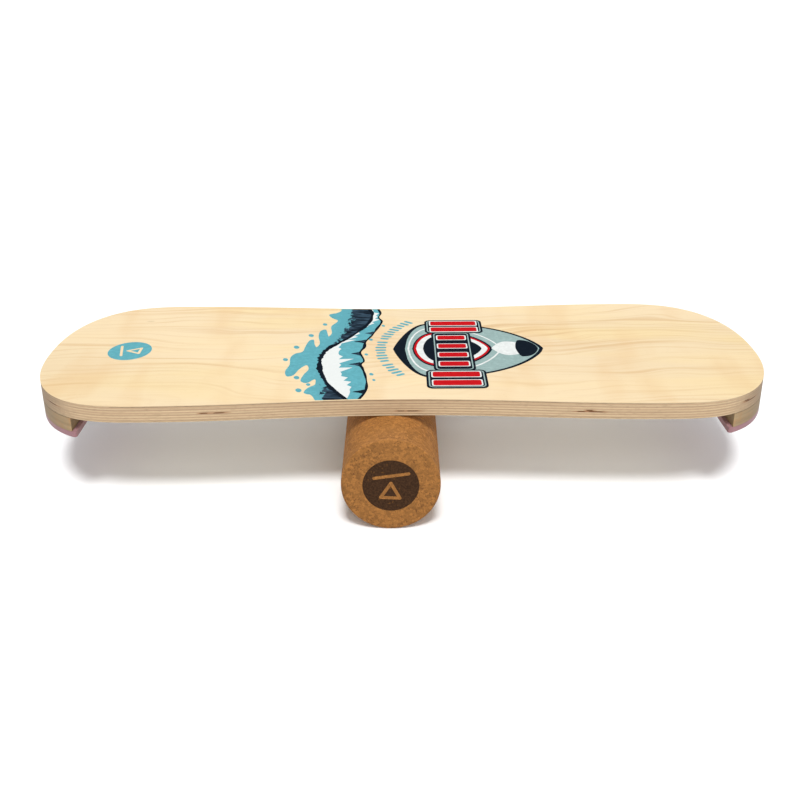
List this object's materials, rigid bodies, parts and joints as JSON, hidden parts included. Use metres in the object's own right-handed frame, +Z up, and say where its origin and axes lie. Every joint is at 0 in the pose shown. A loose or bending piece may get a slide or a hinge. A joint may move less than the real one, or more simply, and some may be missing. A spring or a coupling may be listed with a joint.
{
  "type": "balance board",
  "caption": "Waisted plywood deck with a stop block and a soft buffer pad under each end, rocking on a loose cork roller.",
  "frame": {"origin": "on the floor, midway along the deck and midway along the roller", "axes": "+X along the deck, +Y across it along the roller, +Z up"},
  "size_m": [0.8, 0.385, 0.1183],
  "materials": {
    "face_veneer": "satin",
    "long_ply": "matte",
    "cross_ply": "matte",
    "stop_wood": "matte",
    "buffer_pad": "matte",
    "screw_steel": "satin",
    "cork": "matte",
    "ink_teal": "satin",
    "ink_slate": "satin",
    "ink_navy": "satin",
    "ink_white": "satin",
    "ink_mint": "satin",
    "ink_red": "satin",
    "burnt_cork": "matte"
  },
  "bodies": {
    "roller": {"roller": "cork"},
    "deck": {"deck_top_veneer": "face_veneer", "deck_ply_02": "cross_ply", "deck_ply_03": "long_ply", "deck_ply_04": "cross_ply", "deck_ply_05": "long_ply", "deck_ply_06": "cross_ply", "deck_ply_07": "long_ply", "deck_ply_08": "cross_ply", "deck_ply_09": "long_ply", "deck_ply_10": "cross_ply", "deck_ply_11": "long_ply", "deck_ply_12": "cross_ply", "deck_bottom_veneer": "face_veneer", "left_stop_block": "stop_wood", "right_stop_block": "stop_wood", "left_stop_pad": "buffer_pad", "right_stop_pad": "buffer_pad", "left_stop_screws": "screw_steel", "right_stop_screws": "screw_steel"}
  },
  "joints": [
    {"name": "deck_tilt", "type": "hinge", "parent": "roller", "child": "deck", "pos_m": [-0.012, 0, 0.05], "axis": [0, 1, 0], "range_deg": [-11.5, 10.8]}
  ]
}
